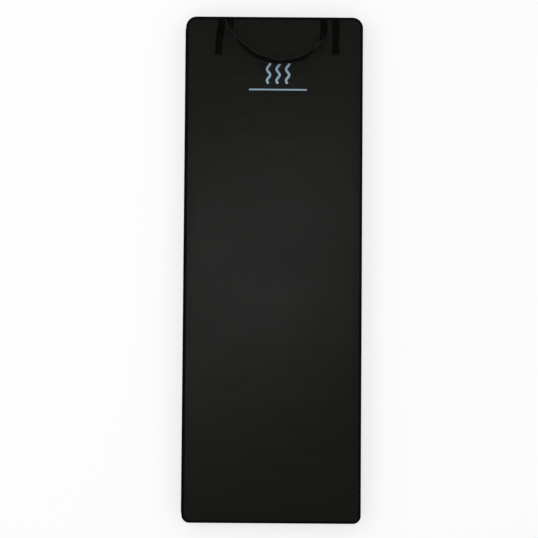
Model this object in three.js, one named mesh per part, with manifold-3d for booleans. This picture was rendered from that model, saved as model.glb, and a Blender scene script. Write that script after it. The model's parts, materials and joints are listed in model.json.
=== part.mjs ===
// An infrared sauna blanket, lying flat and zipped shut on a bench.
// Millimetres, +X across the blanket, +Y towards the head end, +Z up.
// The origin is on the bench, at the middle of the blanket's outline.
import * as THREE from 'three';
import { mergeVertices } from 'three/addons/utils/BufferGeometryUtils.js';
import Module from 'manifold-3d';

const wasm = await Module();
wasm.setup();

// ---------------------------------------------------------------- driving dimensions
const LENGTH = 1800;                // head hem to foot hem
const WIDTH = 635;                  // hinge side to zip side
const PANEL_THICKNESS = 14;         // each of the two quilted panels
const POCKET_HEIGHT = 12;           // room between the two liners, where the user lies
const HEAD_CORNER_RADIUS = 38;
const FOOT_CORNER_RADIUS = 28;
const CLEARANCE = 0.3;              // air between neighbouring pieces

const BINDING_FACE = 10;            // how far the edge tape laps onto the panel's faces
const BINDING_THICKNESS = 1;
const COVER_FLANGE = 1.2;           // skin of a cover or liner where the edge tape laps it
const FOIL_THICKNESS = 0.4;
const FELT_THICKNESS = 1;
const WIRE_SIZE = 1.7;
const SPINE_THICKNESS = 1.5;

const HEATER_RUNS = 10;             // even, so that both ends of the wire are at the foot
const HEATER_MARGIN = 100;          // straight runs stop this far from the head and foot hems
const HEATER_SIDE_MARGIN = 64;      // outermost run to the panel's edge
const LEAD_WIDTH = 3;
const RETURN_LEAD_FROM_HEM = 50;
const CUTOUT_SIZE = [8, 20];
const CUTOUT_THICKNESS = 3;
const THERMISTOR_SIZE = [3, 9];

const WEB_WIDTH = 30;               // webbing of the carry handle and of the closing tabs
const WEB_THICKNESS = 1.5;
const STRAP_HINGE_FROM_HEM = 18;    // the webbing bends up just inside the edge tape
const TAB_LENGTH = 132;             // from the head hem
const LEFT_TAB_GAP = 1.5;           // between the handle's left end and the left tab
const RIGHT_TAB_GAP = 13;
const HANDLE_ENDS = [-158, 177];    // where the handle is sewn in, across the hem
const LEFT_TAB_DRIFT = -10;         // the left tab lies a little askew
const HOOK_PAD_SIZE = [24, 50, 1];
const LOOP_PATCH_SIZE = [60, 120, 1];
const LOOP_PATCH_FROM_HEM = 260;

const ZIP_GAP = 2.2;                // between the two rows of teeth
const TAPE_THICKNESS = 1;
const CHAIN_HEIGHT = 3;
const CHAIN_THICKNESS = 2;
const CHAIN_INSET = 5.5;            // teeth stand this far inside the outline
const STOP_LENGTH = 4;
const SLIDER_LENGTH = 18;
const SLIDER_PLATE = 1.2;
const SLIDER_POST_LENGTH = 6;
const PIVOT_PIN_RADIUS = 0.7;
const PULL_EYE_RADIUS = 1.8;
const PULL_EYE_HEIGHT = 6;
const PULL_LENGTH = 34;
const PULL_HEIGHT = 8;
const PULL_THICKNESS = 1.5;

const INLET_SIZE = [60, 30];        // across, deep
const INLET_ROOM = 1;               // between the inlet and the two panels, together
const INLET_SOCKET = [48, 20, 6];
const INLET_FROM_EDGE = 1.5;
const INLET_NECK = [24, 8];
const INLET_NECK_FROM_HEM = 20;
const PIN_COUNT = 4;
const PIN_SPACING = 10;
const PIN_RADIUS = 1;
const PIN_LENGTH = 16;
const PIN_SEAT = 5;                 // how deep each pin is set in the housing
const ZIP_TO_INLET = 8;

// ---------------------------------------------------------------- worked-out places
const HEAD = LENGTH / 2;
const FOOT = -LENGTH / 2;
const PANEL_WIDTH = WIDTH - SPINE_THICKNESS - CLEARANCE;
const PANEL_X = (SPINE_THICKNESS + CLEARANCE) / 2;
const PANEL_RIGHT = PANEL_X + PANEL_WIDTH / 2;
const HEIGHT = 2 * PANEL_THICKNESS + POCKET_HEIGHT;
const MID_HEIGHT = HEIGHT / 2;

const FLANGE_LOW = CLEARANCE + BINDING_THICKNESS + CLEARANCE;
const COVER_TOP = FLANGE_LOW + COVER_FLANGE;
const LINER_LOW = PANEL_THICKNESS - COVER_TOP;
const WIRE_LOW = LINER_LOW - CLEARANCE - WIRE_SIZE;
const FELT_LOW = WIRE_LOW - CLEARANCE - FELT_THICKNESS;
const FOIL_LOW = FELT_LOW - CLEARANCE - FOIL_THICKNESS;
const WADDING_LOW = COVER_TOP + CLEARANCE;
const WADDING_TOP = FOIL_LOW - CLEARANCE;
const FILLING_INSET = BINDING_THICKNESS + CLEARANCE;

const HEATER_HALF_SPAN = PANEL_WIDTH / 2 - HEATER_SIDE_MARGIN;
const HEATER_PITCH = 2 * HEATER_HALF_SPAN / (HEATER_RUNS - 1);
const HEATER_HALF_RUN = HEAD - HEATER_MARGIN;

const TAPE_INSET = CHAIN_INSET + CHAIN_THICKNESS + CLEARANCE;
const TAPE_INNER = TAPE_INSET + TAPE_THICKNESS;
const ZIP_HEAD_Y = HEAD - HEAD_CORNER_RADIUS;
const INLET_X = PANEL_X - HEATER_HALF_SPAN;
const INLET_HEIGHT = POCKET_HEIGHT - INLET_ROOM;
const ZIP_FOOT_X = INLET_X + INLET_SIZE[0] / 2 + ZIP_TO_INLET;

const LEFT_TAB_X = HANDLE_ENDS[0] - WEB_WIDTH - LEFT_TAB_GAP;
const RIGHT_TAB_X = HANDLE_ENDS[1] + WEB_WIDTH + RIGHT_TAB_GAP;

// ---------------------------------------------------------------- finishes
function finish(color, roughness, metalness = 0) {
  return () => new THREE.MeshStandardMaterial({ color, roughness, metalness });
}
const leatherette = finish(0x232321, 0.55);
const linerFabric = finish(0x1a1a1c, 0.5);
const edgeTape = finish(0x0d0d0d, 0.85);
const webbing = finish(0x121212, 0.9);
const hookAndLoop = finish(0x0f0f0f, 0.95);
const wadding = finish(0xd8d6cf, 0.95);
const foil = finish(0xc9ccd0, 0.25, 0.9);
const felt = finish(0xb7ae9c, 0.95);
const heatingWire = finish(0x7a1f1a, 0.5);
const leadInsulation = finish(0x2b2b2b, 0.5);
const sensor = finish(0xd9d2b8, 0.4);
const zipTeeth = finish(0x151515, 0.4);
const zipMetal = finish(0x3a3a3c, 0.35, 0.8);
const inletPlastic = finish(0x18181a, 0.45);
const brass = finish(0xc8a24a, 0.3, 0.9);

const blanket = new THREE.Group();

function place(name, geometry, material, parent = blanket) {
  const mesh = new THREE.Mesh(geometry, material());
  mesh.name = name;
  parent.add(mesh);
  return mesh;
}

// ---------------------------------------------------------------- shape helpers
function slab(shape, low, high, curveSegments = 5) {
  const geometry = new THREE.ExtrudeGeometry(shape, {
    depth: high - low, bevelEnabled: false, curveSegments,
  });
  return geometry.translate(0, 0, low);
}

function block(x0, x1, y0, y1, z0, z1) {
  const geometry = new THREE.BoxGeometry(x1 - x0, y1 - y0, z1 - z0);
  return geometry.translate((x0 + x1) / 2, (y0 + y1) / 2, (z0 + z1) / 2);
}

function toSolid(geometry) {
  const bare = geometry.clone();
  bare.deleteAttribute('normal');
  bare.deleteAttribute('uv');
  const merged = mergeVertices(bare);
  return new wasm.Manifold(new wasm.Mesh({
    numProp: 3,
    vertProperties: new Float32Array(merged.attributes.position.array),
    triVerts: new Uint32Array(merged.index.array),
  }));
}

function toGeometry(solid) {
  const mesh = solid.getMesh();
  const geometry = new THREE.BufferGeometry();
  geometry.setAttribute('position', new THREE.BufferAttribute(mesh.vertProperties, 3));
  geometry.setIndex(new THREE.BufferAttribute(mesh.triVerts, 1));
  geometry.computeVertexNormals();
  return geometry;
}

function join(...geometries) {
  return toGeometry(geometries.map(toSolid).reduce((whole, piece) => whole.add(piece)));
}

function cut(geometry, ...tools) {
  return toGeometry(tools.map(toSolid).reduce((whole, tool) => whole.subtract(tool), toSolid(geometry)));
}

// The panel's outline, drawn in by a given distance. Its own middle is the origin.
function outline(inset) {
  const x = PANEL_WIDTH / 2 - inset;
  const y = LENGTH / 2 - inset;
  const head = HEAD_CORNER_RADIUS - inset;
  const foot = FOOT_CORNER_RADIUS - inset;
  const quarter = Math.PI / 2;
  const shape = new THREE.Shape();
  shape.moveTo(foot - x, -y);
  shape.lineTo(x - foot, -y);
  shape.absarc(x - foot, foot - y, foot, -quarter, 0, false);
  shape.lineTo(x, y - head);
  shape.absarc(x - head, y - head, head, 0, quarter, false);
  shape.lineTo(head - x, y);
  shape.absarc(head - x, y - head, head, quarter, 2 * quarter, false);
  shape.lineTo(-x, foot - y);
  shape.absarc(foot - x, foot - y, foot, 2 * quarter, 3 * quarter, false);
  return shape;
}

// A strip that follows the zip side and the foot, between two distances inside the outline.
function edgeStrip(outer, inner, low, high) {
  const cornerX = PANEL_RIGHT - FOOT_CORNER_RADIUS;
  const cornerY = FOOT + FOOT_CORNER_RADIUS;
  const quarter = Math.PI / 2;
  const shape = new THREE.Shape();
  shape.moveTo(PANEL_RIGHT - outer, ZIP_HEAD_Y);
  shape.lineTo(PANEL_RIGHT - outer, cornerY);
  shape.absarc(cornerX, cornerY, FOOT_CORNER_RADIUS - outer, 0, -quarter, true);
  shape.lineTo(ZIP_FOOT_X, FOOT + outer);
  shape.lineTo(ZIP_FOOT_X, FOOT + inner);
  shape.lineTo(cornerX, FOOT + inner);
  shape.absarc(cornerX, cornerY, FOOT_CORNER_RADIUS - inner, -quarter, 0, false);
  shape.lineTo(PANEL_RIGHT - inner, ZIP_HEAD_Y);
  return slab(shape, low, high);
}

// ---------------------------------------------------------------- one panel
// A faced sheet: full thickness inside the edge tape, a thinner flange under it.
// The facing is at z = 0 and the flange is on the side away from it.
function facedSheet() {
  return join(
    slab(outline(BINDING_FACE + CLEARANCE), 0, COVER_TOP),
    slab(outline(FILLING_INSET), FLANGE_LOW, COVER_TOP),
  );
}

// The edge tape: a U in section, folded round the panel's rim.
function bindingTape() {
  const low = CLEARANCE;
  const high = PANEL_THICKNESS - CLEARANCE;
  const ring = outline(0);
  ring.holes.push(outline(BINDING_FACE));
  return cut(
    slab(ring, low, high),
    slab(outline(BINDING_THICKNESS), low + BINDING_THICKNESS, high - BINDING_THICKNESS),
  );
}

// The heating wire: straight runs up and down the panel, joined by half circles.
function heatingSerpentine() {
  const half = WIRE_SIZE / 2;
  const turn = HEATER_PITCH / 2;
  const runX = (i) => i * HEATER_PITCH - HEATER_HALF_SPAN;
  const shape = new THREE.Shape();
  const last = HEATER_RUNS - 1;
  shape.moveTo(runX(0) - half, -HEATER_HALF_RUN);
  for (let i = 0; i < last; i += 1) {
    const up = i % 2 === 0;
    const y = up ? HEATER_HALF_RUN : -HEATER_HALF_RUN;
    const radius = up ? turn + half : turn - half;
    shape.absarc(runX(i) + turn, y, radius, Math.PI, up ? 0 : 2 * Math.PI, up);
  }
  shape.lineTo(runX(last) + half, -HEATER_HALF_RUN);
  shape.lineTo(runX(last) - half, -HEATER_HALF_RUN);
  for (let i = last - 1; i >= 0; i -= 1) {
    const up = i % 2 === 0;
    const y = up ? HEATER_HALF_RUN : -HEATER_HALF_RUN;
    const radius = up ? turn - half : turn + half;
    shape.absarc(runX(i) + turn, y, radius, up ? 0 : 2 * Math.PI, Math.PI, !up);
  }
  shape.lineTo(runX(0) + half, -HEATER_HALF_RUN);
  return slab(shape, WIRE_LOW, WIRE_LOW + WIRE_SIZE, 6);
}

// A lead from the far end of the wire, along the foot hem and back to the supply point.
function returnLead(nearX, farX, supplyY) {
  const half = LEAD_WIDTH / 2;
  const inward = Math.sign(farX - nearX);
  const y = FOOT + RETURN_LEAD_FROM_HEM;
  const startX = nearX + inward * 2 * LEAD_WIDTH;
  const shape = new THREE.Shape();
  shape.moveTo(startX - inward * half, supplyY);
  shape.lineTo(startX - inward * half, y + half);
  shape.lineTo(farX - inward * half, y + half);
  shape.lineTo(farX - inward * half, -HEATER_HALF_RUN - CLEARANCE);
  shape.lineTo(farX + inward * half, -HEATER_HALF_RUN - CLEARANCE);
  shape.lineTo(farX + inward * half, y - half);
  shape.lineTo(startX + inward * half, y - half);
  shape.lineTo(startX + inward * half, supplyY);
  return slab(shape, WIRE_LOW, WIRE_LOW + WIRE_SIZE);
}

// side is 'lower' or 'upper', and hingeSign is the side of the hinge in the panel's own frame.
function buildPanel(side, hingeSign, coverCuts, linerCuts) {
  const panel = new THREE.Group();
  const add = (name, geometry, material) => place(`${side}_${name}`, geometry, material, panel);
  const nearX = hingeSign * HEATER_HALF_SPAN;
  const supplyY = FOOT + INLET_NECK_FROM_HEM + INLET_NECK[1] + CLEARANCE;
  const cutoutTop = -HEATER_HALF_RUN - CLEARANCE;
  const cutoutLow = cutoutTop - CUTOUT_SIZE[1];
  const wireTop = WIRE_LOW + WIRE_SIZE;

  add('cover', coverCuts.length > 0 ? cut(facedSheet(), ...coverCuts) : facedSheet(), leatherette);
  add('wadding', slab(outline(FILLING_INSET), WADDING_LOW, WADDING_TOP), wadding);
  add('foil', slab(outline(FILLING_INSET), FOIL_LOW, FOIL_LOW + FOIL_THICKNESS), foil);

  const cutoutX0 = nearX - CUTOUT_SIZE[0] / 2;
  const cutoutX1 = nearX + CUTOUT_SIZE[0] / 2;
  const window = block(
    cutoutX0 - CLEARANCE, cutoutX1 + CLEARANCE,
    cutoutLow - CLEARANCE, cutoutTop + CLEARANCE, FELT_LOW - 1, WIRE_LOW,
  );
  add('heater_felt', cut(
    slab(outline(FILLING_INSET), FELT_LOW, FELT_LOW + FELT_THICKNESS), window), felt);
  add('thermal_cutout', block(
    cutoutX0, cutoutX1, cutoutLow, cutoutTop, wireTop - CUTOUT_THICKNESS, wireTop), sensor);
  add('heating_wire', heatingSerpentine(), heatingWire);
  add('thermistor', block(
    -THERMISTOR_SIZE[0] / 2, THERMISTOR_SIZE[0] / 2,
    -THERMISTOR_SIZE[1] / 2, THERMISTOR_SIZE[1] / 2, WIRE_LOW, wireTop), sensor);

  add('feed_lead', block(
    nearX - LEAD_WIDTH / 2, nearX + LEAD_WIDTH / 2,
    supplyY, cutoutLow - CLEARANCE, WIRE_LOW, wireTop), leadInsulation);
  add('return_lead', returnLead(nearX, -nearX, supplyY), leadInsulation);
  const crossStart = nearX + hingeSign * (INLET_NECK[0] / 2 + CLEARANCE);
  const crossEnd = hingeSign * (PANEL_WIDTH / 2 - FILLING_INSET - CLEARANCE);
  const crossY = FOOT + INLET_NECK_FROM_HEM + INLET_NECK[1] / 2;
  add('hinge_lead', block(
    Math.min(crossStart, crossEnd), Math.max(crossStart, crossEnd),
    crossY - LEAD_WIDTH / 2, crossY + LEAD_WIDTH / 2, WIRE_LOW, wireTop), leadInsulation);

  const liner = facedSheet().rotateY(Math.PI).translate(0, 0, PANEL_THICKNESS);
  add('liner', linerCuts.length > 0 ? cut(liner, ...linerCuts) : liner, linerFabric);
  add('binding', bindingTape(), edgeTape);
  return panel;
}

// The inlet's neck goes through a slot in the lower liner.
const neckX0 = -HEATER_HALF_SPAN - INLET_NECK[0] / 2;
const neckX1 = -HEATER_HALF_SPAN + INLET_NECK[0] / 2;
const neckY0 = FOOT + INLET_NECK_FROM_HEM;
const neckY1 = neckY0 + INLET_NECK[1];
const neckSlot = block(
  neckX0 - CLEARANCE, neckX1 + CLEARANCE, neckY0 - CLEARANCE, neckY1 + CLEARANCE,
  LINER_LOW - 1, PANEL_THICKNESS + 1,
);

// The closing tabs reach round the folded blanket to two loop patches, let into the back cover.
function loopPatch(x, margin, low, high) {
  const [width, length] = LOOP_PATCH_SIZE;
  const y = HEAD - LOOP_PATCH_FROM_HEM;
  return block(
    x - PANEL_X - width / 2 - margin, x - PANEL_X + width / 2 + margin,
    y - length / 2 - margin, y + length / 2 + margin, low, high);
}
const patchPlaces = { left: LEFT_TAB_X, right: RIGHT_TAB_X };
const patchTop = CLEARANCE + LOOP_PATCH_SIZE[2];
const patchPockets = Object.values(patchPlaces).map(
  (x) => loopPatch(x, CLEARANCE, -1, patchTop + CLEARANCE));

const lowerPanel = buildPanel('lower', -1, patchPockets, [neckSlot]);
lowerPanel.position.set(PANEL_X, 0, 0);
blanket.add(lowerPanel);
for (const [side, x] of Object.entries(patchPlaces)) {
  place(`${side}_loop_patch`, loopPatch(x, 0, CLEARANCE, patchTop), hookAndLoop, lowerPanel);
}

const upperPanel = buildPanel('upper', 1, [], []);
upperPanel.position.set(PANEL_X, 0, HEIGHT);
upperPanel.rotation.y = Math.PI;
blanket.add(upperPanel);

// The upper panel's leads meet the hinge lead in a splice block, where the lower panel has the inlet's neck.
place('upper_splice_block', block(
  HEATER_HALF_SPAN - INLET_NECK[0] / 2, HEATER_HALF_SPAN + INLET_NECK[0] / 2,
  neckY0, neckY1, WIRE_LOW, WIRE_LOW + WIRE_SIZE), inletPlastic, upperPanel);

// ---------------------------------------------------------------- hinge side
// The spine tape is one folded strip on the real blanket, split here where it folds.
const spineY0 = FOOT + FOOT_CORNER_RADIUS;
const spineY1 = HEAD - HEAD_CORNER_RADIUS;
place('lower_spine', block(
  -WIDTH / 2, -WIDTH / 2 + SPINE_THICKNESS, spineY0, spineY1,
  CLEARANCE, MID_HEIGHT - CLEARANCE / 2), edgeTape);
place('upper_spine', block(
  -WIDTH / 2, -WIDTH / 2 + SPINE_THICKNESS, spineY0, spineY1,
  MID_HEIGHT + CLEARANCE / 2, HEIGHT - CLEARANCE), edgeTape);

// ---------------------------------------------------------------- zip
const teethLow = MID_HEIGHT - ZIP_GAP / 2;
const teethHigh = MID_HEIGHT + ZIP_GAP / 2;
const lowerTapeFoot = PANEL_THICKNESS + CLEARANCE;
const upperTapeTop = HEIGHT - PANEL_THICKNESS - CLEARANCE;
place('lower_zip_tape', edgeStrip(TAPE_INSET, TAPE_INNER, lowerTapeFoot, teethLow), edgeTape);
place('upper_zip_tape', edgeStrip(TAPE_INSET, TAPE_INNER, teethHigh, upperTapeTop), edgeTape);
const chainInner = CHAIN_INSET + CHAIN_THICKNESS;
const lowerChain = edgeStrip(CHAIN_INSET, chainInner, teethLow - CHAIN_HEIGHT, teethLow);
const upperChain = edgeStrip(CHAIN_INSET, chainInner, teethHigh, teethHigh + CHAIN_HEIGHT);

// Each end of the lower row of teeth is closed by a stop, in place of the last teeth.
const stopX0 = PANEL_RIGHT - chainInner;
const stopX1 = PANEL_RIGHT - CHAIN_INSET;
const stopLow = teethLow - CHAIN_HEIGHT;
const headStopY = ZIP_HEAD_Y - STOP_LENGTH;
const footStopX = ZIP_FOOT_X + STOP_LENGTH;
place('lower_zip_teeth', cut(
  lowerChain,
  block(stopX0 - 1, stopX1 + 1, headStopY - CLEARANCE, ZIP_HEAD_Y + 1, stopLow - 1, teethLow + 1),
  block(ZIP_FOOT_X - 1, footStopX + CLEARANCE, FOOT, FOOT + chainInner + 1, stopLow - 1, teethLow + 1),
), zipTeeth);
place('upper_zip_teeth', upperChain, zipTeeth);
place('zip_head_stop', block(stopX0, stopX1, headStopY, ZIP_HEAD_Y, stopLow, teethLow), zipMetal);
place('zip_foot_stop', block(
  ZIP_FOOT_X, footStopX, FOOT + CHAIN_INSET, FOOT + chainInner, stopLow, teethLow), zipMetal);

// The slider: an outer and an inner plate, joined by a post that runs between the teeth.
// It is open above and below, so the upper row lifts out of it when the lid opens.
const sliderY = headStopY - CLEARANCE - SLIDER_LENGTH / 2;
const sliderHalfHeight = POCKET_HEIGHT / 2 - 5 * CLEARANCE;
const outerPlateX0 = PANEL_RIGHT - CHAIN_INSET + CLEARANCE;
const outerPlateX1 = outerPlateX0 + SLIDER_PLATE;
const innerPlateX1 = PANEL_RIGHT - TAPE_INNER - CLEARANCE;
const innerPlateX0 = innerPlateX1 - SLIDER_PLATE;
const postHalf = ZIP_GAP / 2 - CLEARANCE;
const pivotX = outerPlateX1 + CLEARANCE + PULL_EYE_RADIUS;
const pivotY = sliderY - SLIDER_LENGTH / 4;
const earGap = PULL_EYE_HEIGHT / 2 + CLEARANCE;
const sliderPieces = [
  block(outerPlateX0, outerPlateX1, sliderY - SLIDER_LENGTH / 2, sliderY + SLIDER_LENGTH / 2,
    MID_HEIGHT - sliderHalfHeight, MID_HEIGHT + sliderHalfHeight),
  block(innerPlateX0, innerPlateX1, sliderY - SLIDER_LENGTH / 2, sliderY + SLIDER_LENGTH / 2,
    MID_HEIGHT - sliderHalfHeight, MID_HEIGHT + sliderHalfHeight),
  block(innerPlateX0 + 0.4, outerPlateX1 - 0.4, sliderY - SLIDER_POST_LENGTH / 2,
    sliderY + SLIDER_POST_LENGTH / 2, MID_HEIGHT - postHalf, MID_HEIGHT + postHalf),
  new THREE.CylinderGeometry(PIVOT_PIN_RADIUS, PIVOT_PIN_RADIUS, 2 * earGap + 0.6, 12)
    .rotateX(Math.PI / 2).translate(pivotX, pivotY, MID_HEIGHT),
];
for (const earZ of [MID_HEIGHT - sliderHalfHeight, MID_HEIGHT + earGap]) {
  sliderPieces.push(block(
    outerPlateX1 - 0.4, pivotX + 1.4, pivotY - 1.6, pivotY + 1.6,
    earZ, earZ + sliderHalfHeight - earGap));
}
place('zip_slider', join(...sliderPieces), zipMetal);

const pullTop = MID_HEIGHT + PULL_HEIGHT / 2;
const pullLow = MID_HEIGHT - PULL_HEIGHT / 2;
const pullNeckY = pivotY - 2 * PULL_EYE_RADIUS - 2;
place('zip_pull', cut(
  join(
    new THREE.CylinderGeometry(PULL_EYE_RADIUS, PULL_EYE_RADIUS, PULL_EYE_HEIGHT, 16)
      .rotateX(Math.PI / 2).translate(pivotX, pivotY, MID_HEIGHT),
    block(pivotX - PULL_THICKNESS / 2, pivotX + PULL_THICKNESS / 2, pullNeckY - 1, pivotY - 1,
      MID_HEIGHT - PULL_EYE_HEIGHT / 2 + 0.5, MID_HEIGHT + PULL_EYE_HEIGHT / 2 - 0.5),
    block(pivotX - PULL_THICKNESS / 2, pivotX + PULL_THICKNESS / 2, pivotY - PULL_LENGTH, pullNeckY,
      pullLow, pullTop),
  ),
  new THREE.CylinderGeometry(PIVOT_PIN_RADIUS + CLEARANCE, PIVOT_PIN_RADIUS + CLEARANCE, PULL_HEIGHT, 16)
    .rotateX(Math.PI / 2).translate(pivotX, pivotY, MID_HEIGHT),
), zipMetal);

// ---------------------------------------------------------------- power inlet
// It sits on the foot hem beside the end of the zip, in the gap between the panels.
const inletLow = PANEL_THICKNESS + CLEARANCE;
const inletY0 = FOOT + INLET_FROM_EDGE;
const socketEnd = inletY0 + INLET_SOCKET[1];
const inletMid = inletLow + INLET_HEIGHT / 2;
const pinY0 = socketEnd + PIN_SEAT - PIN_LENGTH;
const inletTools = [block(
  INLET_X - INLET_SOCKET[0] / 2, INLET_X + INLET_SOCKET[0] / 2, inletY0 - 1, socketEnd,
  inletMid - INLET_SOCKET[2] / 2, inletMid + INLET_SOCKET[2] / 2)];
for (let i = 0; i < PIN_COUNT; i += 1) {
  const x = INLET_X + (i - (PIN_COUNT - 1) / 2) * PIN_SPACING;
  const seat = PIN_SEAT + CLEARANCE;
  inletTools.push(new THREE.CylinderGeometry(
    PIN_RADIUS + CLEARANCE, PIN_RADIUS + CLEARANCE, seat + 1, 16)
    .translate(x, socketEnd + (seat - 1) / 2, inletMid));
  place(`inlet_pin_${i + 1}`, new THREE.CylinderGeometry(PIN_RADIUS, PIN_RADIUS, PIN_LENGTH, 16)
    .translate(x, pinY0 + PIN_LENGTH / 2, inletMid), brass);
}
place('inlet_housing', cut(
  join(
    block(INLET_X - INLET_SIZE[0] / 2, INLET_X + INLET_SIZE[0] / 2,
      inletY0, inletY0 + INLET_SIZE[1], inletLow, inletLow + INLET_HEIGHT),
    block(neckX0 + PANEL_X, neckX1 + PANEL_X, neckY0, neckY1, WIRE_LOW, inletLow + 0.5),
  ),
  ...inletTools,
), inletPlastic);

// ---------------------------------------------------------------- webbing
// A flat band swept along [x, distance below the head hem, tilt, lift] points. At a tilt of 180 degrees
// it lies flat on the cover, at 90 it stands on its edge, and below 90 it leans into the loop.
const WEB_LOW = HEIGHT + CLEARANCE;
const HINGE_Y = HEAD - STRAP_HINGE_FROM_HEM;

function webbingBand(points, stations) {
  const route = new THREE.CatmullRomCurve3(
    points.map(([x, drop]) => new THREE.Vector3(x, HEAD - drop, 0)), false, 'catmullrom', 0.5);
  const lay = new THREE.CatmullRomCurve3(
    points.map(([, , tilt, lift]) => new THREE.Vector3(tilt, lift, 0)), false, 'catmullrom', 0.5);
  const up = new THREE.Vector3(0, 0, 1);
  const positions = [];
  const index = [];
  for (let i = 0; i <= stations; i += 1) {
    const t = i / stations;
    const { x: tilt, y: lift } = lay.getPoint(t);
    const angle = THREE.MathUtils.degToRad(Math.min(tilt, 180));
    const along = route.getTangent(t).setZ(0).normalize();
    const inside = new THREE.Vector3().crossVectors(up, along);
    const across = inside.multiplyScalar(Math.cos(angle)).addScaledVector(up, Math.sin(angle));
    const through = new THREE.Vector3().crossVectors(along, across);
    const rise = Math.abs(across.z) * WEB_WIDTH / 2 + Math.abs(through.z) * WEB_THICKNESS / 2;
    const middle = route.getPoint(t).setZ(WEB_LOW + lift + rise);
    for (const [w, h] of [[-1, -1], [1, -1], [1, 1], [-1, 1]]) {
      const corner = middle.clone().addScaledVector(across, w * WEB_WIDTH / 2)
        .addScaledVector(through, h * WEB_THICKNESS / 2);
      positions.push(corner.x, corner.y, corner.z);
    }
    if (i === stations) break;
    for (let j = 0; j < 4; j += 1) {
      const a = 4 * i + j;
      const b = 4 * i + (j + 1) % 4;
      index.push(a, b, b + 4, a, b + 4, a + 4);
    }
  }
  const end = 4 * stations;
  index.push(0, 3, 2, 0, 2, 1, end, end + 1, end + 2, end, end + 2, end + 3);
  const geometry = new THREE.BufferGeometry();
  geometry.setAttribute('position', new THREE.Float32BufferAttribute(positions, 3));
  geometry.setIndex(index);
  geometry.computeVertexNormals();
  return geometry;
}

const strapStart = STRAP_HINGE_FROM_HEM + CLEARANCE;
const handleRoute = [
  [HANDLE_ENDS[0], strapStart, 180, 0], [HANDLE_ENDS[0], 36, 180, 0], [-154, 52, 146, 0], [-146, 68, 100, 0],
  [-131, 90, 72, 0], [-86, 129, 62, 0], [-40, 153, 65, 0], [18, 165, 70, 0], [92, 154, 66, 0],
  [131, 132, 70, 0], [153, 110, 84, 0], [165, 92, 108, 0], [173, 74, 146, 0], [177, 56, 176, 0],
  [HANDLE_ENDS[1], 38, 180, 0], [HANDLE_ENDS[1], strapStart, 180, 0],
];
place('handle_strap', webbingBand(handleRoute, 56), webbing);

function anchor(name, x) {
  place(name, block(
    x - WEB_WIDTH / 2, x + WEB_WIDTH / 2, HINGE_Y + CLEARANCE, HEAD - BINDING_FACE - CLEARANCE,
    WEB_LOW, WEB_LOW + WEB_THICKNESS), webbing);
}
anchor('left_handle_anchor', HANDLE_ENDS[0]);
anchor('right_handle_anchor', HANDLE_ENDS[1]);

// A closing tab, with a hook pad under its free end.
function closingTab(side, x, drift) {
  const [padWidth, padLength, padThickness] = HOOK_PAD_SIZE;
  const lift = padThickness + CLEARANCE;
  const padEnd = TAB_LENGTH - 6;
  const padStart = padEnd - padLength;
  place(`${side}_tab`, webbingBand([
    [x, strapStart, 180, 0], [x, strapStart + 12, 180, 0], [x + drift * 0.35, padStart - 22, 180, 0],
    [x + drift * 0.6, padStart - 4, 180, lift], [x + drift, TAB_LENGTH, 180, lift],
  ], 16), webbing);
  anchor(`${side}_tab_anchor`, x);
  const padX = x + drift * 0.8;
  place(`${side}_hook_pad`, block(
    padX - padWidth / 2, padX + padWidth / 2, HEAD - padEnd, HEAD - padStart,
    WEB_LOW, WEB_LOW + padThickness), hookAndLoop);
}
closingTab('left', LEFT_TAB_X, LEFT_TAB_DRIFT);
closingTab('right', RIGHT_TAB_X, 0);

export default blanket;
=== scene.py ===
# %% [markdown]
# # An infrared sauna blanket, lying flat and zipped shut
#
# The blanket is two padded panels of black synthetic leather, one on the other. They are joined by a
# folded tape down one long side, and by a zip down the other long side and across the foot. The head end
# is open. A webbing carry handle and two closing tabs are sewn in at the head hem.
#
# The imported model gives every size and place, and this script dresses it. Each soft or visible piece is
# rebuilt here in finer detail, where its plain solid lies. The hidden pieces inside keep their solids.

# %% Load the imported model
import json
import math
import random

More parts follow.
